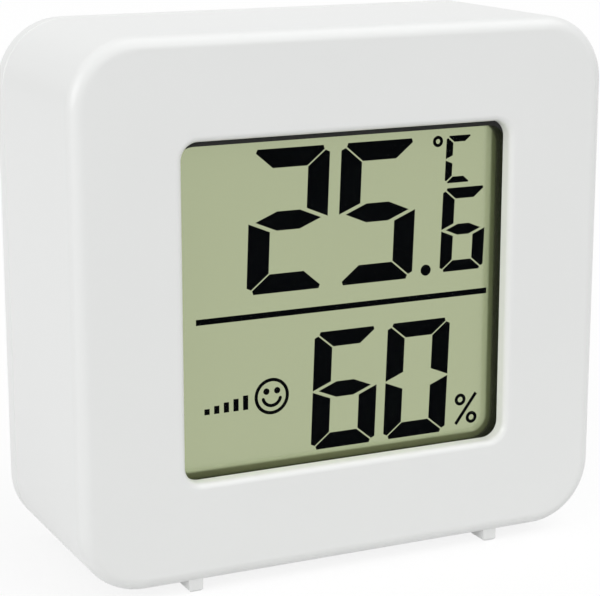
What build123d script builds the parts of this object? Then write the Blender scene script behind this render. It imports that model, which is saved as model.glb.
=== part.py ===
from build123d import *
import os

# A small indoor thermometer and hygrometer that stands on a shelf: a deep moulded front case with a
# reflective display behind its window, a flat back cover with the battery door, a fold-out stand and a
# button, and the board, display and battery parts between them.
# X runs to the viewer's right, Y from the face to the back and Z up. The origin is under the middle of
# the footprint. A depth is measured from the face backwards, and all lengths are in millimetres.

# Window and display
window_width = 26.6
window_height = 25.0
window_corner_radius = 1.3
window_edge_radius = 0.5
lip_thickness = 1.15
gasket_thickness = 0.18
gasket_top_lap = 0.45
gasket_side_gap = 0.4
gasket_bottom_gap = 0.5
gasket_border = 1.5
polariser_thickness = 0.12
polariser_inset = 0.7
glass_thickness = 0.25
glass_border = 1.7
glass_upper_border = 1.6
contact_ledge = 2.6
segment_thickness = 0.05
reflector_thickness = 0.25
pocket_clearance = 0.15

# Display tray and elastomer connector
zebra_length = 5.65
zebra_width = 1.8
zebra_end_inset = 1.0
zebra_clearance = 0.1
ledge_gap = 0.4
tray_wall = 1.0
tray_floor = 0.8

# Case shells
bezel_height = 7.6
foot_height = 0.8
corner_radius = 5.0
front_edge_radius = 1.05
back_edge_radius = 0.8
case_wall = 1.6
face_wall = 1.8
cover_thickness = 2.0
seam_bevel = 0.12
spigot_length = 1.5
spigot_wall = 1.0
spigot_clearance = 0.1

# Feet
foot_width = 1.1
foot_length = 2.2
foot_spacing = 25.0
foot_inset = 0.45
foot_root = 0.4
foot_bevel = 0.15

# Screws, bosses and posts
boss_radius = 1.8
boss_gap = 0.4
boss_relief = 0.2
stand_screw_gap = 0.4
screw_inset = 4.3
screw_radius = 0.8
screw_fit = 0.02
screw_hole_clearance = 0.15
screw_head_radius = 1.5
case_screw_head = 1.0
case_screw_length = 7.0
case_screw_sink = 0.2
counterbore_clearance = 0.1
board_screw_head = 0.8
board_screw_length = 4.6
blind_gap = 0.4
head_round = 0.35
recess_length = 1.8
recess_width = 0.4
recess_depth = 0.5
post_radius = 1.5
post_wall_gap = 0.8
post_rise = 8.0

# Circuit board and what it carries
board_thickness = 1.0
board_clearance = 0.2
board_edge_gap = 0.7
board_end_gap = 1.3
ear_margin = 2.5
parts_room = 3.05
blob_radius = 3.0
blob_height = 1.1
blob_round_share = 0.8
blob_side = 7.0
blob_drop = 9.5
crystal_radius = 1.0
crystal_length = 6.0
crystal_round = 0.25
crystal_side = 7.0
crystal_drop = 8.5
capacitor_length = 1.6
capacitor_width = 0.8
capacitor_height = 0.8
capacitor_pitch = 2.6
capacitor_count = 4
capacitor_rise = 6.0
resistor_length = 1.0
resistor_width = 0.5
resistor_height = 0.35
resistor_pitch = 1.8
resistor_count = 6
chip_row_gap = 1.2
sensor_side = 9.0
sensor_size = 3.0
sensor_height = 1.1
sensor_port_radius = 0.5
sensor_port_depth = 0.3
thermistor_side = 3.0
bead_radius = 0.7
lead_radius = 0.15
lead_length = 2.2
lead_spacing = 0.7

# Coin cell and its contacts
cell_radius = 10.0
cell_thickness = 2.5
cell_play = 0.3
cell_side_play = 0.3
cap_step = 1.1
cap_height = 0.3
cell_rim_radius = 0.3
strip_thickness = 0.25
strip_touch = 0.02
negative_width = 3.0
negative_reach = 4.0
positive_width = 4.0
positive_reach = 3.0
strip_slot_gap = 0.3
strip_top_gap = 0.4

# Battery well and door
well_floor = 1.0
well_wall = 1.1
door_skin = 1.5
door_sink = 0.05
door_clearance = 0.1
door_axial_gap = 0.2
skirt_play = 0.4
skirt_wall = 0.75
tab_reach = 1.0
tab_thickness = 0.7
tab_width = 5.0
notch_clearance = 0.4
flange_cover = 0.3
flange_height = 1.2
flange_gap = 0.1
flange_round = 0.2
door_turn = 30.0
coin_slot_length = 13.0
coin_slot_width = 1.8
coin_slot_depth = 0.7
index_radius = 0.4
index_depth = 0.25
index_inset = 1.3
index_spacing = 1.0
index_angle = 45.0

# Fold-out stand
leg_width = 2.6
leg_thickness = 1.8
bar_width = 2.2
stand_bottom = 3.4
stand_drop = 23.6
stand_corner_radius = 7.0
stand_clearance = 0.15
stand_sink = 0.1
stand_round = 0.3
door_wall = 1.2
bar_wall = 0.7
trough_floor = 0.9
trough_wall = 0.9
pin_radius = 0.6
pin_length = 1.2
pin_clearance = 0.05
pin_end_gap = 0.2
finger_notch_width = 9.0
finger_notch_drop = 1.3
finger_notch_depth = 1.2

# Openings and button near the top of the back
top_row_inset = 5.7
vent_count = 5
vent_pitch = 1.75
vent_width = 1.0
vent_length = 4.4
vent_side = 9.0
keyhole_head_radius = 2.2
keyhole_slot_radius = 1.2
keyhole_rise = 3.1
keyhole_wall = 0.4
keyhole_rim = 1.3
button_side = 9.5
button_radius = 2.1
button_fit = 0.08
button_sink = 0.1
button_dish_radius = 3.2
button_dish_depth = 0.5
button_flange_radius = 3.0
button_flange_height = 0.6
button_flange_gap = 0.1
button_stem_radius = 1.2
button_travel = 0.4
button_round = 0.25
switch_size = 4.5
switch_height = 3.5
plunger_radius = 1.6
plunger_fit = 0.05
plunger_rise = 0.5
plunger_root = 0.7
plunger_end_gap = 0.1

# Digits and signs on the display. Small ones are placed from the middle of their row or digit
digit_gap = 0.11
digit_slant_share = 0.037
upright_nip_share = 0.26
level_nip_share = 0.32
middle_nip_share = 0.28
big_height = 10.66
big_width = 6.36
big_upright = 1.72
big_level = 1.42
tenths_height = 6.45
tenths_width = 3.77
tenths_upright = 1.02
tenths_level = 0.84
tenths_drop = 1.91
point_radius = 0.43
point_drop = 4.84
degree_radius = 0.43
degree_stroke = 0.25
degree_inset = 2.3
degree_rise = 4.94
unit_height = 3.6
unit_width = 2.25
unit_upright = 0.58
unit_level = 0.48
unit_inset = 0.48
unit_rise = 3.5
divider_margin = 1.2
divider_width = 0.44
divider_side = 0.35
humid_height = 9.1
humid_width = 5.37
humid_upright = 1.48
humid_level = 1.2
percent_drop = 2.95
percent_ring_radius = 0.48
percent_ring_side = 0.51
percent_ring_rise = 0.77
percent_stroke = 0.26
percent_slash_length = 2.95
percent_slash_lean = 37.0
comfort_rise = 0.11
comfort_radius = 1.4
comfort_stroke = 0.26
comfort_eye_radius = 0.25
comfort_eye_side = 0.44
comfort_eye_rise = 0.4
comfort_mouth_radius = 0.72
comfort_mouth_span = 150.0
comfort_mouth_middle = -90.0
bars_drop = 0.68
bar_sign_pitch = 0.77
bar_sign_width = 0.41
bar_sign_height = 1.1
bar_sign_shares = (0.4, 0.55, 0.7, 0.85, 1.0)

# How the gaps before each sign divide the spare room, from the left or from the bottom
row_gap_shares = (0.158, 0.325, 0.29)
upper_gap_shares = (0.62, 0.102, 0.061, 0.095)
lower_gap_shares = (0.281, 0.068, 0.26, 0.102, 0.095)

# One overrun that carries every cut past the surface it opens
overrun = 0.5

# Display stack, from the window's lip backwards
gasket_depth = lip_thickness
polariser_depth = gasket_depth + gasket_thickness
front_glass_depth = polariser_depth + polariser_thickness
segment_depth = front_glass_depth + glass_thickness
rear_glass_depth = segment_depth + segment_thickness
reflector_depth = rear_glass_depth + glass_thickness
tray_depth = reflector_depth + reflector_thickness
glass_width = window_width + 2 * glass_border
glass_top = window_height / 2 + glass_upper_border
rear_glass_bottom = -window_height / 2 - ledge_gap
glass_bottom = rear_glass_bottom - contact_ledge + ledge_gap

# Depths through the board and the battery to the back
board_depth = segment_depth + zebra_length
board_rear = board_depth + board_thickness
well_depth = board_rear + parts_room
cell_depth = well_depth + well_floor + cell_play
cell_rear = cell_depth + cell_thickness
door_inner_depth = cell_rear + cell_play
case_depth = door_inner_depth + door_skin
cover_depth = case_depth - cover_thickness

# The row of chip resistors clears the row of capacitors under it
resistor_rise = capacitor_rise + (capacitor_length + resistor_length) / 2 + chip_row_gap

# The cell's narrower cap, and the round battery door with its well
cap_radius = cell_radius - cap_step
skirt_inner_radius = cell_radius + skirt_play
skirt_radius = skirt_inner_radius + skirt_wall
ring_radius = skirt_radius + door_clearance
tab_radius = ring_radius + tab_reach
chamber_radius = tab_radius + door_clearance
flange_radius = tab_radius + flange_cover
door_recess_radius = flange_radius + door_clearance
flange_depth = case_depth - flange_height
tab_depth = cover_depth - door_axial_gap - tab_thickness
chamber_depth = tab_depth - door_axial_gap
well_radius = cell_radius + cell_side_play

# Stand round the door, and the keyhole above them
stand_width = 2 * (door_recess_radius + door_wall + stand_clearance + leg_width)
stand_rear = case_depth - stand_sink
stand_depth = stand_rear - leg_thickness
pin_depth = stand_rear - leg_thickness / 2
pivot_height = stand_bottom + stand_drop
trough_depth = stand_depth - stand_clearance
door_height = stand_bottom + bar_width + stand_clearance + bar_wall + door_recess_radius
keyhole_height = door_height + door_recess_radius + keyhole_wall + keyhole_head_radius
keyhole_top = keyhole_height + keyhole_rise + keyhole_slot_radius

# Case outline: the display in front needs one size, the stand and keyhole behind another, and the
# larger of the two holds
screw_side = max(
    glass_width / 2 + boss_gap + boss_radius,
    stand_width / 2 + stand_screw_gap,
)
case_width = 2 * (screw_side + screw_inset)
case_height = max(
    window_height + 2 * bezel_height,
    keyhole_top + keyhole_rim - foot_height,
)
screw_rise = case_height / 2 - screw_inset
centre_height = foot_height + case_height / 2
top_row_height = foot_height + case_height - top_row_inset
inner_width = case_width - 2 * case_wall
inner_height = case_height - 2 * case_wall
inner_radius = corner_radius - case_wall

# Board outline and post places
board_width = 2 * (screw_side - boss_radius - board_clearance)
board_height = inner_height - 2 * board_end_gap
ear_width = inner_width - 2 * board_edge_gap
ear_height = 2 * (post_rise + ear_margin)
post_side = inner_width / 2 - post_wall_gap - post_radius

# The same places, counted from the middle of the case
door_offset = door_height - centre_height
pivot_offset = pivot_height - centre_height
keyhole_offset = keyhole_height - centre_height
top_row_offset = top_row_height - centre_height
case_screw_places = [(x, z) for x in (-screw_side, screw_side) for z in (-screw_rise, screw_rise)]
board_post_places = [(x, z) for x in (-post_side, post_side) for z in (-post_rise, post_rise)]


def level(depth):
    """Upright plane at a depth behind the face, centred on the case. It faces the viewer, so a
    negative extrusion runs towards the back."""
    return Plane(origin=(0, depth - case_depth / 2, centre_height), x_dir=(1, 0, 0), z_dir=(0, -1, 0))


def across(side):
    """Plane that looks along X, with Y as its first direction and Z as its second."""
    return Plane(origin=(side, 0, 0), x_dir=(0, 1, 0), z_dir=(1, 0, 0))


def spread(room, sizes, gap_shares):
    """Middles of signs laid in a row that is centred on nought: the gap before each sign takes its
    share of the room that the signs leave over."""
    spare = room - sum(sizes)
    middles = []
    edge = -room / 2
    for size, gap_share in zip(sizes, gap_shares):
        edge += spare * gap_share
        middles.append(edge + size / 2)
        edge += size
    return middles


def seven_segments(side, rise, width, height, upright, flat, lit):
    """Lit bars of one slanted digit: a top, b and c right, d bottom, e and f left, g middle."""
    half_width = width / 2
    half_height = height / 2
    corner_run = (upright**2 + flat**2) ** 0.5
    middle_run = (upright**2 + (flat / 2) ** 2) ** 0.5
    corner_side = digit_gap / 2 * corner_run / flat
    corner_rise = digit_gap / 2 * corner_run / upright
    middle_side = digit_gap / 2 * middle_run / (flat / 2)
    middle_rise = digit_gap / 2 * middle_run / upright
    outer_side = half_width - corner_side
    outer_top = half_height - corner_rise
    upright_nip = upright_nip_share * upright
    level_nip = level_nip_share * flat
    across_share = upright / corner_run
    down_share = flat / corner_run
    level_bar = [
        (level_nip - outer_side, half_height),
        (level_nip * across_share - outer_side, half_height - level_nip * down_share),
        (upright - outer_side, half_height - flat),
        (outer_side - upright, half_height - flat),
        (outer_side - level_nip * across_share, half_height - level_nip * down_share),
        (outer_side - level_nip, half_height),
    ]
    upright_bar = [
        (half_width - upright, half_height - flat - corner_rise),
        (half_width - upright, flat / 2 + middle_rise),
        (half_width, middle_rise),
        (half_width, outer_top - upright_nip),
        (half_width - upright_nip * across_share, outer_top - upright_nip * down_share),
    ]
    tip_side = half_width - middle_side - middle_nip_share * flat
    middle_bar = [
        (-tip_side, 0),
        (upright - tip_side, -flat / 2),
        (tip_side - upright, -flat / 2),
        (tip_side, 0),
        (tip_side - upright, flat / 2),
        (upright - tip_side, flat / 2),
    ]
    bars = {
        "a": (level_bar, 1, 1),
        "b": (upright_bar, 1, 1),
        "c": (upright_bar, 1, -1),
        "d": (level_bar, 1, -1),
        "e": (upright_bar, -1, -1),
        "f": (upright_bar, -1, 1),
        "g": (middle_bar, 1, 1),
    }
    for letter in lit:
        outline, flip_side, flip_rise = bars[letter]
        points = [
            (side + flip_side * x + digit_slant_share * flip_rise * z, rise + flip_rise * z)
            for x, z in outline
        ]
        if flip_side * flip_rise < 0:
            points.reverse()
        Polygon(*points, align=None)


def u_outline(grow, top):
    """U of the stand seen from the front, grown outwards and inwards, and cut off above top."""
    RectangleRounded(
        stand_width + 2 * grow, 2 * (stand_drop + grow), stand_corner_radius + grow
    )
    RectangleRounded(
        stand_width - 2 * (leg_width + grow),
        2 * (stand_drop - bar_width - grow),
        stand_corner_radius - leg_width - grow,
        mode=Mode.SUBTRACT,
    )
    with Locations((0, top)):
        Rectangle(
            stand_width + 2 * grow + overrun,
            2 * stand_drop,
            align=(Align.CENTER, Align.MIN),
            mode=Mode.SUBTRACT,
        )


def door_tabs(reach, width, turn):
    """Two opposite bayonet tabs, or their notches, as the part of a disc under a straight bar."""
    Circle(reach)
    Rectangle(2 * reach, width, rotation=turn, mode=Mode.INTERSECT)


def screws(places, head_depth, head_height, shank_length):
    """Pan-head screws driven from the back, with a cross recess."""
    with BuildSketch(level(head_depth)) as heads:
        with Locations(*places):
            Circle(screw_head_radius)
    extrude(heads.sketch, amount=-head_height)
    fillet(edges().group_by(Axis.Y)[-1], head_round)
    with BuildSketch(level(head_depth)) as shanks:
        with Locations(*places):
            Circle(screw_radius)
    extrude(shanks.sketch, amount=shank_length)
    with BuildSketch(level(head_depth + head_height)) as recesses:
        with Locations(*places):
            Rectangle(recess_length, recess_width)
            Rectangle(recess_width, recess_length)
    extrude(recesses.sketch, amount=recess_depth, mode=Mode.SUBTRACT)


# Front case: shell, window, feet, screw bosses and board posts
with BuildPart() as front_case:
    with BuildSketch(level(0)):
        RectangleRounded(case_width, case_height, corner_radius)
    extrude(amount=-cover_depth)
    fillet(front_case.faces().sort_by(Axis.Y)[0].edges(), front_edge_radius)
    chamfer(front_case.faces().sort_by(Axis.Y)[-1].edges(), seam_bevel)
    with BuildSketch(level(face_wall)):
        RectangleRounded(inner_width, inner_height, inner_radius)
    extrude(amount=face_wall - cover_depth, mode=Mode.SUBTRACT)
    with BuildSketch(level(lip_thickness)):
        with Locations((0, (glass_top + glass_bottom) / 2)):
            Rectangle(
                glass_width + 2 * pocket_clearance,
                glass_top - glass_bottom + 2 * pocket_clearance,
            )
    extrude(amount=lip_thickness - face_wall, mode=Mode.SUBTRACT)
    with BuildSketch(level(0)):
        RectangleRounded(window_width, window_height, window_corner_radius)
    extrude(amount=-lip_thickness, mode=Mode.SUBTRACT)
    fillet(front_case.faces().sort_by(Axis.Y)[0].inner_wires()[0].edges(), window_edge_radius)
    with BuildSketch(level(cover_depth)):
        with Locations(*case_screw_places):
            Circle(boss_radius)
    extrude(amount=cover_depth - face_wall)
    with BuildSketch(level(board_depth)):
        with Locations(*board_post_places):
            Circle(post_radius)
    extrude(amount=board_depth - face_wall)
    with BuildSketch(level(cover_depth)):
        with Locations(*case_screw_places):
            Circle(screw_radius + screw_fit)
    extrude(amount=case_screw_length + blind_gap, mode=Mode.SUBTRACT)
    with BuildSketch(level(board_depth)):
        with Locations(*board_post_places):
            Circle(screw_radius + screw_fit)
    extrude(amount=board_screw_length - board_thickness + blind_gap, mode=Mode.SUBTRACT)
    foot_row = cover_depth - 2 * foot_inset - foot_length
    with BuildSketch():
        with Locations((0, (cover_depth - case_depth) / 2)):
            with GridLocations(foot_spacing, foot_row, 2, 2):
                Rectangle(foot_width, foot_length)
    extrude(amount=foot_height + foot_root)
    chamfer(front_case.edges().group_by(Axis.Z)[0], foot_bevel)

# Rear cover: plate, spigot, battery well, stand trough, vents, keyhole and button hole
with BuildPart() as rear_cover:
    with BuildSketch(level(cover_depth)):
        RectangleRounded(case_width, case_height, corner_radius)
    extrude(amount=-cover_thickness)
    fillet(rear_cover.faces().sort_by(Axis.Y)[-1].edges(), back_edge_radius)
    chamfer(rear_cover.faces().sort_by(Axis.Y)[0].edges(), seam_bevel)
    with BuildSketch(level(cover_depth)):
        RectangleRounded(
            inner_width - 2 * spigot_clearance,
            inner_height - 2 * spigot_clearance,
            inner_radius - spigot_clearance,
        )
        RectangleRounded(
            inner_width - 2 * (spigot_clearance + spigot_wall),
            inner_height - 2 * (spigot_clearance + spigot_wall),
            inner_radius - spigot_clearance - spigot_wall,
            mode=Mode.SUBTRACT,
        )
    extrude(amount=spigot_length)
    with BuildSketch(level(cover_depth)):
        with Locations((0, pivot_offset)):
            u_outline(stand_clearance + trough_wall, leg_thickness / 2 + stand_clearance + trough_wall)
        RectangleRounded(
            inner_width - 2 * spigot_clearance,
            inner_height - 2 * spigot_clearance,
            inner_radius - spigot_clearance,
            mode=Mode.INTERSECT,
        )
    extrude(amount=cover_depth - trough_depth + trough_floor)
    with BuildSketch(level(cover_depth)):
        with Locations((0, door_offset)):
            Circle(chamber_radius + well_wall)
    extrude(amount=cover_depth - chamber_depth + well_wall)
    with BuildSketch(level(well_depth)):
        with Locations((0, door_offset)):
            Circle(well_radius + well_wall)
    extrude(amount=well_depth - cover_depth)
    with BuildSketch(level(cover_depth)):
        with Locations(*case_screw_places):
            Circle(boss_radius + boss_relief)
    extrude(amount=cover_depth - well_depth, mode=Mode.SUBTRACT)
    with BuildSketch(level(well_depth + well_floor)):
        with Locations((0, door_offset)):
            Circle(well_radius)
    extrude(amount=well_depth + well_floor - cover_depth, mode=Mode.SUBTRACT)
    with BuildSketch(level(chamber_depth)):
        with Locations((0, door_offset)):
            Circle(chamber_radius)
    extrude(amount=chamber_depth - cover_depth, mode=Mode.SUBTRACT)
    with BuildSketch(level(cover_depth)):
        with Locations((0, door_offset)):
            Circle(ring_radius)
    extrude(amount=-cover_thickness, mode=Mode.SUBTRACT)
    with BuildSketch(level(cover_depth)):
        with Locations((0, door_offset)):
            door_tabs(chamber_radius, tab_width + 2 * notch_clearance, -door_turn)
    extrude(amount=-cover_thickness, mode=Mode.SUBTRACT)
    with BuildSketch(level(flange_depth - flange_gap)):
        with Locations((0, door_offset)):
            Circle(door_recess_radius)
    extrude(amount=-(flange_height + flange_gap), mode=Mode.SUBTRACT)
    with BuildSketch(level(trough_depth)):
        with Locations((0, pivot_offset)):
            u_outline(stand_clearance, leg_thickness / 2 + stand_clearance)
    extrude(amount=trough_depth - case_depth, mode=Mode.SUBTRACT)
    with BuildSketch(level(case_depth)):
        with Locations((0, pivot_offset - stand_drop)):
            Rectangle(finger_notch_width, 2 * finger_notch_drop)
    extrude(amount=finger_notch_depth, mode=Mode.SUBTRACT)
    pin_reach = stand_width + 2 * (pin_length + pin_end_gap)
    with BuildSketch(across(-pin_reach / 2)):
        with Locations((pin_depth - case_depth / 2, pivot_height)):
            Circle(pin_radius + pin_clearance)
    extrude(amount=pin_reach, mode=Mode.SUBTRACT)
    with BuildSketch(level(cover_depth)):
        with Locations(*case_screw_places):
            Circle(screw_radius + screw_hole_clearance)
        with Locations((button_side, top_row_offset)):
            Circle(button_radius + button_fit)
        with Locations((-vent_side, top_row_offset)):
            with GridLocations(vent_pitch, 0, vent_count, 1):
                SlotOverall(vent_length, vent_width, rotation=90)
        with Locations((0, keyhole_offset)):
            Circle(keyhole_head_radius)
        with Locations((0, keyhole_offset + keyhole_rise / 2)):
            SlotCenterToCenter(keyhole_rise, 2 * keyhole_slot_radius, rotation=90)
    extrude(amount=-cover_thickness, mode=Mode.SUBTRACT)
    with BuildSketch(level(case_depth)):
        with Locations(*case_screw_places):
            Circle(screw_head_radius + counterbore_clearance)
    extrude(amount=case_screw_head + case_screw_sink, mode=Mode.SUBTRACT)
    with BuildSketch(level(case_depth)):
        with Locations((button_side, top_row_offset)):
            Circle(button_dish_radius)
    extrude(amount=button_dish_depth, mode=Mode.SUBTRACT)
    with BuildSketch(level(well_depth)):
        with Locations((0, door_offset)):
            Rectangle(negative_reach + 2 * strip_slot_gap, negative_width + 2 * strip_slot_gap)
        positive_slot = strip_touch + strip_thickness + 2 * strip_slot_gap
        with Locations((cell_radius - strip_slot_gap, door_offset)):
            Rectangle(
                positive_slot,
                positive_width + 2 * strip_slot_gap,
                align=(Align.MIN, Align.CENTER),
            )
    extrude(amount=well_depth - chamber_depth, mode=Mode.SUBTRACT)
    with BuildSketch(level(case_depth)):
        with Locations((0, door_offset)):
            with PolarLocations(
                door_recess_radius + index_spacing, 2, index_angle, -door_turn, rotate=False
            ):
                Circle(index_radius)
    extrude(amount=index_depth, mode=Mode.SUBTRACT)

# Black foam frame between the window's lip and the display. It shows as a thin line inside the top of the
# window, and stands back behind the lip at the sides and the bottom
with BuildPart() as lcd_gasket:
    opening_top = window_height / 2 - gasket_top_lap
    opening_bottom = -window_height / 2 - gasket_bottom_gap
    with BuildSketch(level(gasket_depth)):
        RectangleRounded(
            window_width + 2 * gasket_border,
            window_height + 2 * gasket_border,
            window_corner_radius,
        )
        with Locations((0, (opening_top + opening_bottom) / 2)):
            RectangleRounded(
                window_width + 2 * gasket_side_gap,
                opening_top - opening_bottom,
                window_corner_radius + gasket_side_gap,
                mode=Mode.SUBTRACT,
            )
    extrude(amount=-gasket_thickness)


def pane(depth, thickness, bottom, inset):
    """Flat layer of the display, from a bottom edge up to the glass's top edge, drawn in by inset."""
    with BuildSketch(level(depth)) as layer:
        with Locations((0, (glass_top + bottom) / 2)):
            Rectangle(glass_width - 2 * inset, glass_top - bottom - 2 * inset)
    extrude(layer.sketch, amount=-thickness)


with BuildPart() as lcd_front_polariser:
    pane(polariser_depth, polariser_thickness, rear_glass_bottom - polariser_inset, polariser_inset)

with BuildPart() as lcd_front_glass:
    pane(front_glass_depth, glass_thickness, glass_bottom, 0)

with BuildPart() as lcd_rear_glass:
    pane(rear_glass_depth, glass_thickness, rear_glass_bottom, 0)

with BuildPart() as lcd_reflector:
    pane(reflector_depth, reflector_thickness, rear_glass_bottom, 0)

# Dark digits and signs in the gap between the two glasses
mouth_start = comfort_mouth_middle - comfort_mouth_span / 2
mouth = CenterArc((0, 0), comfort_mouth_radius, mouth_start, comfort_mouth_span)
bars_width = (len(bar_sign_shares) - 1) * bar_sign_pitch + bar_sign_width
percent_width = 2 * (percent_ring_side + percent_ring_radius)
lower_rise, divider_rise, upper_rise = spread(
    window_height, (humid_height, divider_width, big_height), row_gap_shares
)
tens_side, units_side, point_side, tenths_side = spread(
    window_width, (big_width, big_width, 2 * point_radius, tenths_width), upper_gap_shares
)
bars_side, comfort_side, humid_tens_side, humid_units_side, percent_side = spread(
    window_width,
    (bars_width, 2 * comfort_radius, humid_width, humid_width, percent_width),
    lower_gap_shares,
)
with BuildPart() as lcd_segments:
    with BuildSketch(level(segment_depth)):
        big = (big_width, big_height, big_upright, big_level)
        seven_segments(tens_side, upper_rise, *big, "abged")
        seven_segments(units_side, upper_rise, *big, "afgcd")
        tenths = (tenths_width, tenths_height, tenths_upright, tenths_level)
        seven_segments(tenths_side, upper_rise - tenths_drop, *tenths, "afgecd")
        unit = (unit_width, unit_height, unit_upright, unit_level)
        seven_segments(tenths_side - unit_inset, upper_rise + unit_rise, *unit, "afed")
        humid = (humid_width, humid_height, humid_upright, humid_level)
        seven_segments(humid_tens_side, lower_rise, *humid, "afgecd")
        seven_segments(humid_units_side, lower_rise, *humid, "abcdef")
        with Locations((point_side, upper_rise - point_drop)):
            Circle(point_radius)
        with Locations((divider_side, divider_rise)):
            Rectangle(window_width - 2 * divider_margin, divider_width)
        for index, share in enumerate(bar_sign_shares):
            bar_place = bars_side + (index - (len(bar_sign_shares) - 1) / 2) * bar_sign_pitch
            with Locations((bar_place, lower_rise - bars_drop)):
                Rectangle(bar_sign_width, bar_sign_height * share, align=(Align.CENTER, Align.MIN))
        with Locations((percent_side, lower_rise - percent_drop)):
            Rectangle(percent_stroke, percent_slash_length, rotation=-percent_slash_lean)
    extrude(amount=-segment_thickness)
    with BuildSketch(level(segment_depth)):
        with Locations((tenths_side - degree_inset, upper_rise + degree_rise)):
            Circle(degree_radius)
            Circle(degree_radius - degree_stroke, mode=Mode.SUBTRACT)
    extrude(amount=-segment_thickness)
    percent_rise = lower_rise - percent_drop
    ring_places = [
        (percent_side - percent_ring_side, percent_rise + percent_ring_rise),
        (percent_side + percent_ring_side, percent_rise - percent_ring_rise),
    ]
    with BuildSketch(level(segment_depth)):
        with Locations(*ring_places):
            Circle(percent_ring_radius)
            Circle(percent_ring_radius - percent_stroke, mode=Mode.SUBTRACT)
    extrude(amount=-segment_thickness)
    with BuildSketch(level(segment_depth)):
        with Locations((comfort_side, lower_rise + comfort_rise)):
            Circle(comfort_radius)
            Circle(comfort_radius - comfort_stroke, mode=Mode.SUBTRACT)
        with Locations((comfort_side, lower_rise + comfort_rise + comfort_eye_rise)):
            with GridLocations(2 * comfort_eye_side, 0, 2, 1):
                Circle(comfort_eye_radius)
        with Locations((comfort_side, lower_rise + comfort_rise)):
            SlotArc(mouth, comfort_stroke)
    extrude(amount=-segment_thickness)

# Tray that holds the display off the board, with a slot for the connector
tray_width = glass_width
zebra_centre = glass_bottom + zebra_width / 2 + zebra_clearance
zebra_slot = zebra_width + 2 * zebra_clearance
tray_bottom = zebra_centre - zebra_slot / 2 - tray_wall
with BuildPart() as lcd_frame:
    with BuildSketch(level(tray_depth)):
        with Locations((0, (glass_top + tray_bottom) / 2)):
            Rectangle(tray_width, glass_top - tray_bottom)
    extrude(amount=tray_depth - board_depth)
    hollow_bottom = zebra_centre + zebra_slot / 2 + tray_wall
    with BuildSketch(level(tray_depth + tray_floor)):
        with Locations((0, (glass_top - tray_wall + hollow_bottom) / 2)):
            Rectangle(tray_width - 2 * tray_wall, glass_top - tray_wall - hollow_bottom)
    extrude(amount=tray_depth + tray_floor - board_depth, mode=Mode.SUBTRACT)
    with BuildSketch(level(tray_depth)):
        with Locations((0, zebra_centre)):
            Rectangle(glass_width - 2 * (zebra_end_inset - zebra_clearance), zebra_slot)
    extrude(amount=tray_depth - board_depth, mode=Mode.SUBTRACT)

# Striped elastomer strip from the glass ledge to the board
with BuildPart() as zebra_connector:
    with BuildSketch(level(segment_depth)):
        with Locations((0, zebra_centre)):
            Rectangle(glass_width - 2 * zebra_end_inset, zebra_width)
    extrude(amount=-zebra_length)

# Circuit board with two ears for its screws
with BuildPart() as circuit_board:
    with BuildSketch(level(board_depth)):
        Rectangle(board_width, board_height)
        Rectangle(ear_width, ear_height)
        with Locations(*board_post_places):
            Circle(screw_radius + screw_hole_clearance, mode=Mode.SUBTRACT)
    extrude(amount=-board_thickness)

# Chip under a dome of black resin
with BuildPart() as chip_blob:
    with BuildSketch(level(board_rear)):
        with Locations((-blob_side, -blob_drop)):
            Circle(blob_radius)
    extrude(amount=-blob_height)
    fillet(chip_blob.edges().group_by(Axis.Y)[-1], blob_height * blob_round_share)

# Watch crystal lying on the board
with BuildPart() as crystal:
    crystal_place = (crystal_side, board_rear + crystal_radius - case_depth / 2)
    with BuildSketch(Plane.XY.offset(centre_height - crystal_drop - crystal_length / 2)):
        with Locations(crystal_place):
            Circle(crystal_radius)
    extrude(amount=crystal_length)
    fillet(crystal.edges().group_by(Axis.Z)[0], crystal_round)

with BuildPart() as smd_capacitors:
    with BuildSketch(level(board_rear)):
        with Locations((0, capacitor_rise)):
            with GridLocations(capacitor_pitch, 0, capacitor_count, 1):
                Rectangle(capacitor_width, capacitor_length)
    extrude(amount=-capacitor_height)

with BuildPart() as smd_resistors:
    with BuildSketch(level(board_rear)):
        with Locations((0, resistor_rise)):
            with GridLocations(resistor_pitch, 0, resistor_count, 1):
                Rectangle(resistor_width, resistor_length)
    extrude(amount=-resistor_height)

# Humidity sensor with a small port, in front of the vents
with BuildPart() as humidity_sensor:
    with BuildSketch(level(board_rear)):
        with Locations((-sensor_side, top_row_offset)):
            Rectangle(sensor_size, sensor_size)
    extrude(amount=-sensor_height)
    with BuildSketch(level(board_rear + sensor_height)):
        with Locations((-sensor_side, top_row_offset)):
            Circle(sensor_port_radius)
    extrude(amount=sensor_port_depth, mode=Mode.SUBTRACT)

# Bead thermistor standing on two leads
with BuildPart() as thermistor:
    with BuildSketch(level(board_rear)):
        with Locations((-thermistor_side, top_row_offset)):
            with GridLocations(lead_spacing, 0, 2, 1):
                Circle(lead_radius)
    extrude(amount=-lead_length)
    bead_depth = board_rear + lead_length - case_depth / 2
    with Locations((-thermistor_side, bead_depth, top_row_height)):
        Sphere(bead_radius)

# Push switch under the button: body and plunger
plunger_top = board_rear + switch_height + plunger_rise
with BuildPart() as tact_switch:
    with BuildSketch(level(board_rear)):
        with Locations((button_side, top_row_offset)):
            Rectangle(switch_size, switch_size)
    extrude(amount=-switch_height)
    with BuildSketch(level(board_rear + switch_height)):
        with Locations((button_side, top_row_offset)):
            Circle(plunger_radius + plunger_fit)
    extrude(amount=plunger_root + button_travel + plunger_end_gap, mode=Mode.SUBTRACT)

with BuildPart() as switch_plunger:
    with BuildSketch(level(plunger_top)):
        with Locations((button_side, top_row_offset)):
            Circle(plunger_radius)
    extrude(amount=plunger_rise + plunger_root)

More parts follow.
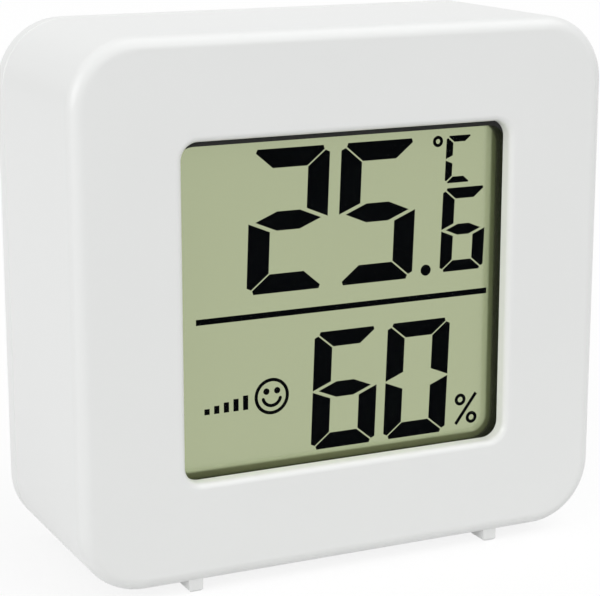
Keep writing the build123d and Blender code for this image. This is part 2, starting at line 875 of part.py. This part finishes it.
# Unit button: cap, flange that keeps it in, and stem down to the plunger
with BuildPart() as unit_button:
    flange_top = cover_depth - button_flange_gap
    with BuildSketch(level(plunger_top)):
        with Locations((button_side, top_row_offset)):
            Circle(button_stem_radius)
    extrude(amount=plunger_top - flange_top)
    with BuildSketch(level(flange_top)):
        with Locations((button_side, top_row_offset)):
            Circle(button_flange_radius)
    extrude(amount=button_flange_height)
    with BuildSketch(level(flange_top)):
        with Locations((button_side, top_row_offset)):
            Circle(button_radius)
    extrude(amount=flange_top - case_depth + button_sink)
    fillet(unit_button.edges().group_by(Axis.Y)[-1], button_round)

# Coin cell: can, and the smaller cap that faces the board
with BuildPart() as coin_cell:
    with BuildSketch(level(cell_depth + cap_height)):
        with Locations((0, door_offset)):
            Circle(cell_radius)
    extrude(amount=cap_height - cell_thickness)
    fillet(coin_cell.edges().group_by(Axis.Y)[-1], cell_rim_radius)
    with BuildSketch(level(cell_depth)):
        with Locations((0, door_offset)):
            Circle(cap_radius)
    extrude(amount=-cap_height)

# Spring strip that reaches from the board through the well's floor to the cell's cap
negative_end = negative_reach / 2
with BuildPart() as negative_contact:
    strip_back = cell_depth - strip_thickness
    with BuildSketch(level(board_rear)):
        with Locations((0, door_offset)):
            Rectangle(negative_reach, negative_width)
    extrude(amount=-strip_thickness)
    with BuildSketch(level(board_rear)):
        with Locations((-negative_end, door_offset)):
            Rectangle(strip_thickness, negative_width, align=(Align.MIN, Align.CENTER))
    extrude(amount=board_rear - cell_depth)
    with BuildSketch(level(strip_back)):
        with Locations((-negative_end, door_offset)):
            Rectangle(negative_reach, negative_width, align=(Align.MIN, Align.CENTER))
    extrude(amount=-strip_thickness)

# Strip that stands on the board and touches the rim of the can
with BuildPart() as positive_contact:
    strip_place = cell_radius + strip_touch
    with BuildSketch(level(board_rear)):
        with Locations((strip_place, door_offset)):
            Rectangle(positive_reach, positive_width, align=(Align.MIN, Align.CENTER))
    extrude(amount=-strip_thickness)
    with BuildSketch(level(board_rear)):
        with Locations((strip_place, door_offset)):
            Rectangle(strip_thickness, positive_width, align=(Align.MIN, Align.CENTER))
    extrude(amount=board_rear - tab_depth + strip_top_gap)

# Battery door: flange, skirt with two bayonet tabs, and a coin slot
with BuildPart() as battery_door:
    with BuildSketch(level(flange_depth)):
        with Locations((0, door_offset)):
            Circle(flange_radius)
    extrude(amount=door_sink - flange_height)
    fillet(battery_door.edges().group_by(Axis.Y)[-1], flange_round)
    with BuildSketch(level(tab_depth)):
        with Locations((0, door_offset)):
            Circle(skirt_radius)
    extrude(amount=tab_depth - flange_depth)
    with BuildSketch(level(tab_depth)):
        with Locations((0, door_offset)):
            door_tabs(tab_radius, tab_width, 0)
    extrude(amount=-tab_thickness)
    with BuildSketch(level(tab_depth)):
        with Locations((0, door_offset)):
            Circle(skirt_inner_radius)
    extrude(amount=tab_depth - door_inner_depth, mode=Mode.SUBTRACT)
    with BuildSketch(level(case_depth)):
        with Locations((0, door_offset)):
            SlotOverall(coin_slot_length, coin_slot_width)
    extrude(amount=coin_slot_depth, mode=Mode.SUBTRACT)
    with BuildSketch(level(case_depth)):
        with Locations((0, door_offset)):
            with PolarLocations(flange_radius - index_inset, 1, index_angle, rotate=False):
                Circle(index_radius)
    extrude(amount=index_depth + door_sink, mode=Mode.SUBTRACT)

# Fold-out stand: U, rounded leg ends and the pins that they turn on
with BuildPart() as stand:
    with BuildSketch(level(stand_depth)):
        with Locations((0, pivot_offset)):
            u_outline(0, 0)
    extrude(amount=-leg_thickness)
    with BuildSketch(across(-stand_width / 2)):
        with Locations((pin_depth - case_depth / 2, pivot_height)):
            Circle(leg_thickness / 2)
    extrude(amount=leg_width)
    with BuildSketch(across(stand_width / 2)):
        with Locations((pin_depth - case_depth / 2, pivot_height)):
            Circle(leg_thickness / 2)
    extrude(amount=-leg_width)
    leg_seams = stand.edges().filter_by(Axis.X).filter_by_position(
        Axis.Z, pivot_height - stand_round, pivot_height + leg_thickness
    )
    fillet(stand.edges() - leg_seams, stand_round)
    with BuildSketch(across(-stand_width / 2)):
        with Locations((pin_depth - case_depth / 2, pivot_height)):
            Circle(pin_radius)
    extrude(amount=-pin_length)
    with BuildSketch(across(stand_width / 2)):
        with Locations((pin_depth - case_depth / 2, pivot_height)):
            Circle(pin_radius)
    extrude(amount=pin_length)

# Screws of the rear cover and of the board
with BuildPart() as case_screws:
    head_depth = case_depth - case_screw_head - case_screw_sink
    screws(case_screw_places, head_depth, case_screw_head, head_depth - cover_depth + case_screw_length)

with BuildPart() as board_screws:
    screws(board_post_places, board_rear, board_screw_head, board_screw_length)

pieces = {
    "front_case": front_case,
    "rear_cover": rear_cover,
    "lcd_gasket": lcd_gasket,
    "lcd_front_polariser": lcd_front_polariser,
    "lcd_front_glass": lcd_front_glass,
    "lcd_segments": lcd_segments,
    "lcd_rear_glass": lcd_rear_glass,
    "lcd_reflector": lcd_reflector,
    "lcd_frame": lcd_frame,
    "zebra_connector": zebra_connector,
    "circuit_board": circuit_board,
    "chip_blob": chip_blob,
    "crystal": crystal,
    "smd_capacitors": smd_capacitors,
    "smd_resistors": smd_resistors,
    "humidity_sensor": humidity_sensor,
    "thermistor": thermistor,
    "tact_switch": tact_switch,
    "switch_plunger": switch_plunger,
    "unit_button": unit_button,
    "coin_cell": coin_cell,
    "negative_contact": negative_contact,
    "positive_contact": positive_contact,
    "battery_door": battery_door,
    "stand": stand,
    "case_screws": case_screws,
    "board_screws": board_screws,
}
os.makedirs("parts", exist_ok=True)
for name, piece in pieces.items():
    piece.part.label = name
    export_step(piece.part, f"parts/{name}.step")
print("case", case_width, case_height + foot_height, case_depth)
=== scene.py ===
"""Finishes and studio for a small indoor thermometer and hygrometer, in metres."""

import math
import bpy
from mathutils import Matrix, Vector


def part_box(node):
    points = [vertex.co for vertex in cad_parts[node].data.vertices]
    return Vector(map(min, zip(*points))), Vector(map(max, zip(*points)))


bl_info = {
    "name": "Indoor thermometer finishes",
    "version": (1, 0, 0),
    "blender": (4, 5, 0),
    "location": "3D View > Sidebar > Thermometer",
    "description": "Gives a small indoor thermometer and hygrometer its finishes, and a plain studio",
    "category": "Object",
}

import bpy
import numpy as np
from mathutils import Vector

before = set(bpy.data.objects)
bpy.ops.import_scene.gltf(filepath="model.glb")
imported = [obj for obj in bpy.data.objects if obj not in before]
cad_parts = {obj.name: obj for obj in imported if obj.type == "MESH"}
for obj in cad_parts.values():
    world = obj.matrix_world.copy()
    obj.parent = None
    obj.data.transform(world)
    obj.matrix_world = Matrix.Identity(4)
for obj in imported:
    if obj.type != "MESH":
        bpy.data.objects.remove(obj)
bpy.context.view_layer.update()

MM = 0.001
WHITE = (1, 1, 1, 1)

# Refractive indices of the plain ABS, the polariser's film and soda-lime glass
ABS_INDEX = 1.53
FILM_INDEX = 1.49
GLASS_INDEX = 1.52

# Loose corners this near are one corner, and edges that turn by more than this many degrees stay sharp
WELD_REACH = 0.001 * MM
SHARP_TURN = 30

# Middle of the two shells together, which the camera turns about
CASE_LOW, CASE_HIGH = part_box("front_case")
COVER_LOW, COVER_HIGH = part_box("rear_cover")
SHELL_MIDDLE = Vector(
    (
        (CASE_LOW[0] + CASE_HIGH[0]) / 2,
        (CASE_LOW[1] + COVER_HIGH[1]) / 2,
        (COVER_LOW[2] + COVER_HIGH[2]) / 2,
    )
)


def linear(code):
    """An sRGB hex colour as linear red, green and blue."""
    values = [int(code[place : place + 2], 16) / 255 for place in (1, 3, 5)]
    return [v / 12.92 if v <= 0.04045 else ((v + 0.055) / 1.055) ** 2.4 for v in values]


def length(name, description, millimetres):
    """A length property whose default is given in millimetres."""
    return bpy.props.FloatProperty(
        name=name, description=description, default=millimetres * MM, unit="LENGTH", precision=5
    )


def colour(name, description, code):
    """A colour property whose default is an sRGB hex value."""
    return bpy.props.FloatVectorProperty(
        name=name, description=description, default=linear(code), subtype="COLOR", min=0, max=1
    )


def share(name, description, value):
    """A property from nought to one."""
    return bpy.props.FloatProperty(
        name=name, description=description, default=value, min=0, max=1, subtype="FACTOR"
    )


def angle(name, description, degrees):
    """An angle property whose default is given in degrees."""
    return bpy.props.FloatProperty(
        name=name, description=description, default=math.radians(degrees), subtype="ANGLE"
    )


def level(name, description, value):
    """A plain number from nought up, such as a lamp's strength."""
    return bpy.props.FloatProperty(name=name, description=description, default=value, min=0)


class ShellLook(bpy.types.PropertyGroup):
    """Moulded plastic outside."""

    white: colour("White", "ABS of the case, cover, door and stand", "#E8E9E8")
    button_grey: colour("Button", "Softer plastic of the unit button", "#C9CACB")
    grain: length("Grain", "Spacing of the spark texture of the mould", 0.16)
    grain_depth: length("Grain depth", "Height of the spark texture", 0.0012)
    roughness: share("Roughness", "Satin of the moulded skin", 0.34)
    gloss_drift: share("Gloss drift", "How far flow marks move the roughness each way", 0.05)
    flow_marks: length("Flow marks", "Length of the marks that the flowing plastic leaves", 14)


class DisplayLook(bpy.types.PropertyGroup):
    """Reflective liquid-crystal display."""

    ground: colour("Ground", "Reflective film behind the cell", "#AFB795")
    lit: colour("Digits", "Liquid crystal where it is switched on", "#060709")
    film: colour("Film", "Tint of the front polariser", "#454A40")
    film_haze: share("Film haze", "How much of the front polariser shows", 0.006)
    glass: colour("Glass", "Tint of the two panes", "#3C453F")
    glass_haze: share("Glass haze", "How much of each pane shows", 0.002)
    # The foam's black, where the frame shows along the window's top and right edges, is partly the foam's
    # own colour and partly painted shade for the shadow of the window's lip
    foam: colour("Foam", "Foam frame round the display", "#20201F")
    foam_cell: length("Foam cell", "Width of the foam's open cells", 0.12)
    metallic: share("Metallic", "How much of the film behind the cell is bare foil", 0.9)
    film_roughness: share("Film roughness", "Brushing of the film behind the cell", 0.18)
    optical_gap: length("Optical gap", "Gap drawn between layers that touch", 0.015)


class InsideLook(bpy.types.PropertyGroup):
    """Board and battery, which show only through the vents and the keyhole."""

    mask: colour("Solder mask", "Lacquer of the circuit board", "#1C5A31")
    resin: colour("Resin", "Black resin and switch body", "#131314")
    nickel: colour("Nickel", "Nickel-plated steel", "#BDBAB4")
    ceramic: colour("Ceramic", "Bodies of the chip capacitors", "#8E7355")
    tray: colour("Tray", "Natural moulding behind the display", "#D9D6CC")
    elastomer: colour("Elastomer", "Insulating stripes of the connector", "#C9A6A0")


class StudioLook(bpy.types.PropertyGroup):
    """Camera, lamps and floor."""

    azimuth: angle("Azimuth", "Camera's place round the case", -25.43)
    elevation: angle("Elevation", "Camera's height over the case", 13.41)
    distance: length("Distance", "Camera to the case's middle", 152.78)
    slide: length("Slide", "Camera's shift to its own right", -0.206)
    lift: length("Lift", "Camera's shift to its own top", -1.616)
    lens: level("Lens", "Focal length in millimetres", 118.37)
    film_width: level("Film width", "Width of the camera's film in millimetres", 36)
    floor: colour("Floor", "Pale floor", "#DEDEDE")
    floor_white: share("Floor white", "How much plain white lifts the floor where it is looked at", 0.85)
    floor_reach: length("Floor reach", "Radius of the floor", 3000)
    sky_level: level("Sky", "Level of the even light", 0.56)
    top_power: level("Top", "Strength of the high right lamp", 1.0)
    key_power: level("Key", "Strength of the front lamp", 0.25)
    fill_power: level("Fill", "Strength of the left lamp", 1.2)


# Each lamp's name, azimuth, elevation and spread in degrees, and the property that holds its strength
LAMPS = (
    ("high right", 55, 60, 50, "top_power"),
    ("front", 22, 30, 15, "key_power"),
    ("left", -68, 14, 40, "fill_power"),
)


def add_node(tree, kind, inputs=None, **settings):
    """Adds a node, sets its own settings, and gives its sockets values or the outputs that feed them."""
    made = tree.nodes.new(kind)
    for name, value in settings.items():
        setattr(made, name, value)
    for socket, value in (inputs or {}).items():
        if isinstance(value, bpy.types.NodeSocket):
            tree.links.new(value, made.inputs[socket])
        else:
            made.inputs[socket].default_value = value
    return made


def new_material(name):
    """An empty node material, its tree and its Object coordinates."""
    material = bpy.data.materials.new(name)
    material.use_nodes = True
    tree = material.node_tree
    tree.nodes.clear()
    place = add_node(tree, "ShaderNodeTexCoord").outputs["Object"]
    return material, tree, place


def close_material(tree, shader):
    """Joins the shader to the material's output."""
    add_node(tree, "ShaderNodeOutputMaterial", {"Surface": shader})


def rgba(values, times=1.0):
    """A colour property as four numbers, made lighter or darker by a factor."""
    return (*(min(1.0, value * times) for value in values), 1.0)


def satin_abs(name, tone, look):
    """ABS moulded against fine spark-eroded steel: an even satin skin with a grain too shallow to see but
    in the highlights, and broad flow marks that change its tone by a percent and its gloss a little."""
    material, tree, place = new_material(name)
    dull, pale = 0.985, 1.012
    flow = add_node(
        tree, "ShaderNodeTexNoise", {"Vector": place, "Scale": 1 / look.flow_marks, "Detail": 2.0}
    )
    grain = add_node(
        tree, "ShaderNodeTexNoise", {"Vector": place, "Scale": 1 / look.grain, "Detail": 3.0}
    )
    body = add_node(
        tree,
        "ShaderNodeMix",
        {0: flow.outputs["Fac"], 6: rgba(tone, dull), 7: rgba(tone, pale)},
        data_type="RGBA",
    )
    gloss = add_node(
        tree,
        "ShaderNodeMapRange",
        {
            "Value": flow.outputs["Fac"],
            "To Min": look.roughness - look.gloss_drift,
            "To Max": look.roughness + look.gloss_drift,
        },
    )
    bump = add_node(
        tree,
        "ShaderNodeBump",
        {"Height": grain.outputs["Fac"], "Strength": 0.6, "Distance": look.grain_depth},
    )
    shader = add_node(
        tree,
        "ShaderNodeBsdfPrincipled",
        {
            "Base Color": body.outputs[2],
            "Roughness": gloss.outputs["Result"],
            "IOR": ABS_INDEX,
            "Normal": bump.outputs["Normal"],
        },
    )
    close_material(tree, shader.outputs["BSDF"])
    return material


def cell_foam(name, look):
    """Polyethylene foam skived to a thin frame: matt black, with painted light on its open cells, drawn
    darker in their hollows and paler on their walls. Where the frame shows along the window's top and right
    edges, its black is partly real foam and partly painted shade under the window's lip.
    """
    material, tree, place = new_material(name)
    # The cell walls are drawn this many times lighter than the hollows: painted light and shade that follow
    # the bump
    painted_wall_light, cell_depth, matt = 1.8, 0.03 * MM, 0.92
    cells = add_node(tree, "ShaderNodeTexVoronoi", {"Vector": place, "Scale": 1 / look.foam_cell})
    bump = add_node(
        tree,
        "ShaderNodeBump",
        {"Height": cells.outputs["Distance"], "Strength": 0.8, "Distance": cell_depth},
    )
    # Painted light and shade: darker in each cell's hollow, paler towards its walls
    body = add_node(
        tree,
        "ShaderNodeMix",
        {0: cells.outputs["Distance"], 6: rgba(look.foam), 7: rgba(look.foam, painted_wall_light)},
        data_type="RGBA",
    )
    shader = add_node(
        tree,
        "ShaderNodeBsdfPrincipled",
        {"Base Color": body.outputs[2], "Roughness": matt, "Normal": bump.outputs["Normal"]},
    )
    close_material(tree, shader.outputs["BSDF"])
    return material


def clear_layer(name, tone, haze, roughness, index):
    """A clear layer of the display, polariser film or soda-lime glass: nearly all of the light passes, and
    its gloss wanders by a seventh over a few millimetres, as if wiped."""
    material, tree, place = new_material(name)
    wipe_length, wipe_drift = 2.5 * MM, 0.15
    wipes = add_node(
        tree, "ShaderNodeTexNoise", {"Vector": place, "Scale": 1 / wipe_length, "Detail": 4.0}
    )
    gloss = add_node(
        tree,
        "ShaderNodeMapRange",
        {
            "Value": wipes.outputs["Fac"],
            "To Min": roughness * (1 - wipe_drift),
            "To Max": roughness * (1 + wipe_drift),
        },
    )
    shader = add_node(
        tree,
        "ShaderNodeBsdfPrincipled",
        {
            "Base Color": rgba(tone),
            "Roughness": gloss.outputs["Result"],
            "IOR": index,
            "Alpha": haze,
        },
    )
    close_material(tree, shader.outputs["BSDF"])
    return material


def reflective_film(name, look):
    """Brushed aluminium foil laminated to a polariser: seen through the cell it is an even green grey
    with a fine sparkle, 0.05 mm in the real film and drawn at 0.1 mm so that it shows."""
    material, tree, place = new_material(name)
    sparkle_width, cloud_width = 0.1 * MM, 11 * MM
    sparkle_drift, cloud_drift = 0.006, 0.01
    sparkle = add_node(
        tree, "ShaderNodeTexNoise", {"Vector": place, "Scale": 1 / sparkle_width, "Detail": 2.0}
    )
    cloud = add_node(
        tree, "ShaderNodeTexNoise", {"Vector": place, "Scale": 1 / cloud_width, "Detail": 1.0}
    )
    fine = add_node(
        tree,
        "ShaderNodeMapRange",
        {"Value": sparkle.outputs["Fac"], "To Min": 1 - sparkle_drift, "To Max": 1 + sparkle_drift},
    )
    broad = add_node(
        tree,
        "ShaderNodeMapRange",
        {"Value": cloud.outputs["Fac"], "To Min": 1 - cloud_drift, "To Max": 1 + cloud_drift},
    )
    drift = add_node(
        tree,
        "ShaderNodeMath",
        {0: fine.outputs["Result"], 1: broad.outputs["Result"]},
        operation="MULTIPLY",
    )
    body = add_node(
        tree, "ShaderNodeVectorMath", {0: look.ground, "Scale": drift.outputs[0]}, operation="SCALE"
    )
    shader = add_node(
        tree,
        "ShaderNodeBsdfPrincipled",
        {
            "Base Color": body.outputs["Vector"],
            "Metallic": look.metallic,
            "Roughness": look.film_roughness,
        },
    )
    close_material(tree, shader.outputs["BSDF"])
    return material


def liquid_crystal(name, tone):
    """Liquid crystal turned dark by its electrodes: near black, with a faint blue and no gloss."""
    material, tree, place = new_material(name)
    field_width, dark, pale = 3 * MM, 0.8, 1.2
    field = add_node(
        tree, "ShaderNodeTexNoise", {"Vector": place, "Scale": 1 / field_width, "Detail": 1.0}
    )
    body = add_node(
        tree,
        "ShaderNodeMix",
        {0: field.outputs["Fac"], 6: rgba(tone, dark), 7: rgba(tone, pale)},
        data_type="RGBA",
    )
    shader = add_node(
        tree,
        "ShaderNodeBsdfPrincipled",
        {"Base Color": body.outputs[2], "Roughness": 0.6, "Specular IOR Level": 0.0},
    )
    close_material(tree, shader.outputs["BSDF"])
    return material


def plated_steel(name, tone):
    """Nickel-plated steel strip and can: drawn and tumbled, so its fine scratches run every way."""
    material, tree, place = new_material(name)
    scratch_length, scratch_depth = 0.3 * MM, 0.002 * MM
    bright, dull = 0.22, 0.4
    scratch = add_node(
        tree,
        "ShaderNodeTexNoise",
        {"Vector": place, "Scale": 1 / scratch_length, "Detail": 6.0, "Distortion": 1.5},
    )
    gloss = add_node(
        tree,
        "ShaderNodeMapRange",
        {"Value": scratch.outputs["Fac"], "To Min": bright, "To Max": dull},
    )
    bump = add_node(
        tree,
        "ShaderNodeBump",
        {"Height": scratch.outputs["Fac"], "Strength": 0.3, "Distance": scratch_depth},
    )
    shader = add_node(
        tree,
        "ShaderNodeBsdfPrincipled",
        {
            "Base Color": rgba(tone),
            "Metallic": 1.0,
            "Roughness": gloss.outputs["Result"],
            "Normal": bump.outputs["Normal"],
        },
    )
    close_material(tree, shader.outputs["BSDF"])
    return material


def moulded_part(name, tone, roughness, speck):
    """A small moulded or cast part: its tone wanders by about an eighth over the size of its specks."""
    material, tree, place = new_material(name)
    dark, pale, speck_height = 0.85, 1.12, 0.01 * MM
    specks = add_node(tree, "ShaderNodeTexNoise", {"Vector": place, "Scale": 1 / speck, "Detail": 4.0})
    body = add_node(
        tree,
        "ShaderNodeMix",
        {0: specks.outputs["Fac"], 6: rgba(tone, dark), 7: rgba(tone, pale)},
        data_type="RGBA",
    )
    bump = add_node(
        tree,
        "ShaderNodeBump",
        {"Height": specks.outputs["Fac"], "Strength": 0.4, "Distance": speck_height},
    )
    shader = add_node(
        tree,
        "ShaderNodeBsdfPrincipled",
        {"Base Color": body.outputs[2], "Roughness": roughness, "Normal": bump.outputs["Normal"]},
    )
    close_material(tree, shader.outputs["BSDF"])
    return material


def dress(names, material, drawn_in=0.0):
    """Gives CAD nodes a material, joins their loose triangles for shading, and keeps true corners sharp.
    Layers that lie face to face are drawn in along their normals, so that light meets one at a time."""
    for name in names:
        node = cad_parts[name]
        node.data.materials.clear()
        node.data.materials.append(material)
        node.data.polygons.foreach_set("use_smooth", np.ones(len(node.data.polygons), dtype=bool))
        weld = node.modifiers.new("weld", "WELD")
        weld.merge_threshold = WELD_REACH
        if drawn_in:
            shrink = node.modifiers.new("optical gap", "DISPLACE")
            shrink.mid_level = 0
            shrink.strength = -drawn_in
        split = node.modifiers.new("corners", "EDGE_SPLIT")
        split.split_angle = math.radians(SHARP_TURN)
        weighted = node.modifiers.new("flats", "WEIGHTED_NORMAL")
        weighted.weight = 100
        weighted.keep_sharp = True


class THERMOMETER_OT_shell(bpy.types.Operator):
    """Finishes the two shells, the battery door and the stand"""

    bl_idname = "thermometer.shell"
    bl_label = "Shell"

    def execute(self, context):
        look = context.scene.thermometer_shell
        white = satin_abs("satin moulded ABS", look.white, look)
        dress(["front_case", "rear_cover", "battery_door", "stand"], white)
        dress(["unit_button"], satin_abs("satin moulded grey ABS", look.button_grey, look))
        return {"FINISHED"}


class THERMOMETER_OT_display(bpy.types.Operator):
    """Finishes the display's layers, digits and foam frame"""

    bl_idname = "thermometer.display"
    bl_label = "Display"

    def execute(self, context):
        look = context.scene.thermometer_display
        matt, polished = 0.35, 0.08
        film = clear_layer("polariser film", look.film, look.film_haze, matt, FILM_INDEX)
        glass = clear_layer("soda-lime glass", look.glass, look.glass_haze, polished, GLASS_INDEX)
        crystal = liquid_crystal("switched liquid crystal", look.lit)
        # Black foam frame: along the window's top and right edges it is partly real foam and partly painted
        # shade under the window's lip
        dress(["lcd_gasket"], cell_foam("black cell foam", look))
        dress(["lcd_front_polariser"], film, look.optical_gap)
        dress(["lcd_front_glass", "lcd_rear_glass"], glass, look.optical_gap)
        dress(["lcd_segments"], crystal, look.optical_gap / 2)
        dress(["lcd_reflector"], reflective_film("reflective polariser", look))
        # The clear layers and the thin crystal stay out of the light's way to the film behind them
        for name in ("lcd_front_polariser", "lcd_front_glass", "lcd_rear_glass", "lcd_segments"):
            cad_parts[name].visible_shadow = False
            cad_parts[name].visible_diffuse = False
            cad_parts[name].visible_glossy = False
        return {"FINISHED"}


class THERMOMETER_OT_inside(bpy.types.Operator):
    """Finishes the board, its parts, the cell and the screws"""

    bl_idname = "thermometer.inside"
    bl_label = "Inside"

    def execute(self, context):
        look = context.scene.thermometer_inside
        # Each small part's finish, colour, roughness and size of speck, then the nodes that have it
        finishes = (
            ("solder mask", look.mask, 0.35, 0.8 * MM, ["circuit_board"]),
            (
                "black resin",
                look.resin,
                0.4,
                0.5 * MM,
                ["chip_blob", "smd_resistors", "tact_switch", "thermistor"],
            ),
            ("fired ceramic", look.ceramic, 0.55, 0.2 * MM, ["smd_capacitors"]),
            (
                "natural polystyrene",
                look.tray,
                0.5,
                2.0 * MM,
                ["lcd_frame", "switch_plunger", "humidity_sensor"],
            ),
            ("striped silicone", look.elastomer, 0.6, 0.1 * MM, ["zebra_connector"]),
        )
        for name, tone, roughness, speck, nodes in finishes:
            dress(nodes, moulded_part(name, tone, roughness, speck))
        steel = plated_steel("nickel-plated steel", look.nickel)
        dress(["coin_cell", "negative_contact", "positive_contact", "crystal"], steel)
        dress(["case_screws", "board_screws"], steel)
        return {"FINISHED"}


def bearing(azimuth, elevation):
    """The direction from the case at an azimuth from its face towards its right, and at an elevation: the
    sines and cosines of both."""
    return Vector(
        (
            math.sin(azimuth) * math.cos(elevation),
            -math.cos(azimuth) * math.cos(elevation),
            math.sin(elevation),
        )
    )


def seen_directly(tree):
    """One where the camera, a reflection or a view through glass looks straight at the surface, and
    nought where the surface only lights others."""
    path = add_node(tree, "ShaderNodeLightPath")
    sight = add_node(
        tree,
        "ShaderNodeMath",
        {0: path.outputs["Is Camera Ray"], 1: path.outputs["Is Glossy Ray"]},
        operation="MAXIMUM",
    )
    through = add_node(
        tree,
        "ShaderNodeMath",
        {0: sight.outputs[0], 1: path.outputs["Is Transmission Ray"]},
        operation="MAXIMUM",
    )
    return through.outputs[0]


class THERMOMETER_OT_stage(bpy.types.Operator):
    """Makes the floor, the sky, the lamps and the camera"""

    bl_idname = "thermometer.stage"
    bl_label = "Stage"

    def execute(self, context):
        look = context.scene.thermometer_studio
        scene = context.scene
        scene.view_settings.view_transform = "Standard"
        self.floor(look)
        self.sky(scene, look)
        for name, azimuth, elevation, spread, power in LAMPS:
            self.lamp(name, math.radians(azimuth), math.radians(elevation), spread, getattr(look, power))
        self.camera(scene, look)
        return {"FINISHED"}

    def floor(self, look):
        """A wide round floor under the feet: rings whose radius grows with the square of their number,
        each of the same count of corners, round a flat hub."""
        rings, corners = 24, 96
        ring, corner = np.meshgrid(np.arange(rings), np.arange(corners), indexing="ij")
        radius = look.floor_reach * ((ring + 1) / rings) ** 2
        bearing = 2 * np.pi * corner / corners
        points = np.stack((radius * np.cos(bearing), radius * np.sin(bearing), 0 * radius), axis=-1)
        index = ring * corners + corner
        after = np.roll(index, -1, axis=1)
        quads = np.stack((index[:-1], index[1:], after[1:], after[:-1]), axis=-1)
        mesh = bpy.data.meshes.new("floor")
        mesh.from_pydata(
            points.reshape(-1, 3).tolist(), [], [index[0].tolist(), *quads.reshape(-1, 4).tolist()]
        )
        floor = bpy.data.objects.new("floor", mesh)
        bpy.context.scene.collection.objects.link(floor)
        mesh.materials.append(self.white_board(look))

    def white_board(self, look):
        """Matt white card that shows as white where it is looked at, and keeps the object's shadow."""
        material, tree, place = new_material("matt white card")
        mottle_width, dull = 60 * MM, 0.995
        mottle = add_node(tree, "ShaderNodeTexNoise", {"Vector": place, "Scale": 1 / mottle_width})
        body = add_node(
            tree,
            "ShaderNodeMix",
            {0: mottle.outputs["Fac"], 6: rgba(look.floor, dull), 7: rgba(look.floor)},
            data_type="RGBA",
        )
        sight = seen_directly(tree)
        shown = add_node(
            tree,
            "ShaderNodeMix",
            {0: sight, 6: body.outputs[2], 7: WHITE},
            data_type="RGBA",
        )
        card = add_node(tree, "ShaderNodeBsdfDiffuse", {"Color": shown.outputs[2]})
        glow = add_node(tree, "ShaderNodeEmission", {"Color": WHITE, "Strength": 1.0})
        lifted = add_node(
            tree,
            "ShaderNodeMath",
            {0: sight, 1: look.floor_white},
            operation="MULTIPLY",
        )
        shader = add_node(
            tree,
            "ShaderNodeMixShader",
            {"Fac": lifted.outputs[0], 1: card.outputs["BSDF"], 2: glow.outputs["Emission"]},
        )
        close_material(tree, shader.outputs["Shader"])
        return material

    def sky(self, scene, look):
        """Even white surroundings that show as plain white."""
        world = bpy.data.worlds.new("studio")
        world.use_nodes = True
        tree = world.node_tree
        tree.nodes.clear()
        strength = add_node(
            tree, "ShaderNodeMix", {0: seen_directly(tree), 2: look.sky_level, 3: 1.0}
        )
        sky = add_node(
            tree, "ShaderNodeBackground", {"Color": WHITE, "Strength": strength.outputs[0]}
        )
        add_node(tree, "ShaderNodeOutputWorld", {"Surface": sky.outputs["Background"]})
        scene.world = world

    def lamp(self, name, azimuth, elevation, spread, power):
        """A broad far lamp at an azimuth and elevation seen from the case, spread over some degrees."""
        light = bpy.data.lights.new(name, "SUN")
        light.energy = power
        light.angle = math.radians(spread)
        made = bpy.data.objects.new(name, light)
        bpy.context.scene.collection.objects.link(made)
        towards = bearing(azimuth, elevation)
        made.rotation_mode = "QUATERNION"
        made.rotation_quaternion = towards.to_track_quat("Z", "Y")
        made.location = towards

    def camera(self, scene, look):
        """Camera at the photograph's view: turned about the case's middle, then slid along its own axes."""
        back = bearing(look.azimuth, look.elevation)
        right = Vector((0, 0, 1)).cross(back).normalized()
        top = back.cross(right)
        data = bpy.data.cameras.new("camera")
        data.lens = look.lens
        data.sensor_width = look.film_width
        data.clip_start = 5 * MM
        made = bpy.data.objects.new("camera", data)
        scene.collection.objects.link(made)
        made.rotation_mode = "QUATERNION"
        made.rotation_quaternion = back.to_track_quat("Z", "Y")
        made.location = SHELL_MIDDLE + back * look.distance + right * look.slide + top * look.lift
        scene.camera = made


class THERMOMETER_PT_panel(bpy.types.Panel):
    """Lists the operators in the sidebar."""

    bl_idname = "THERMOMETER_PT_panel"
    bl_label = "Thermometer"
    bl_space_type = "VIEW_3D"
    bl_region_type = "UI"
    bl_category = "Thermometer"

    def draw(self, context):
        for operator in OPERATORS:
            self.layout.operator(operator.bl_idname)


LOOKS = {
    "thermometer_shell": ShellLook,
    "thermometer_display": DisplayLook,
    "thermometer_inside": InsideLook,
    "thermometer_studio": StudioLook,
}
OPERATORS = (
    THERMOMETER_OT_shell,
    THERMOMETER_OT_display,
    THERMOMETER_OT_inside,
    THERMOMETER_OT_stage,
)


def register():
    for name, group in LOOKS.items():
        bpy.utils.register_class(group)
        setattr(bpy.types.Scene, name, bpy.props.PointerProperty(type=group))
    for operator in OPERATORS:
        bpy.utils.register_class(operator)
    bpy.utils.register_class(THERMOMETER_PT_panel)


def unregister():
    bpy.utils.unregister_class(THERMOMETER_PT_panel)
    for operator in reversed(OPERATORS):
        bpy.utils.unregister_class(operator)
    for name, group in LOOKS.items():
        delattr(bpy.types.Scene, name)
        bpy.utils.unregister_class(group)


def main():
    register()
    for operator in OPERATORS:
        area, name = operator.bl_idname.split(".")
        getattr(getattr(bpy.ops, area), name)()


if __name__ == "__main__":
    main()
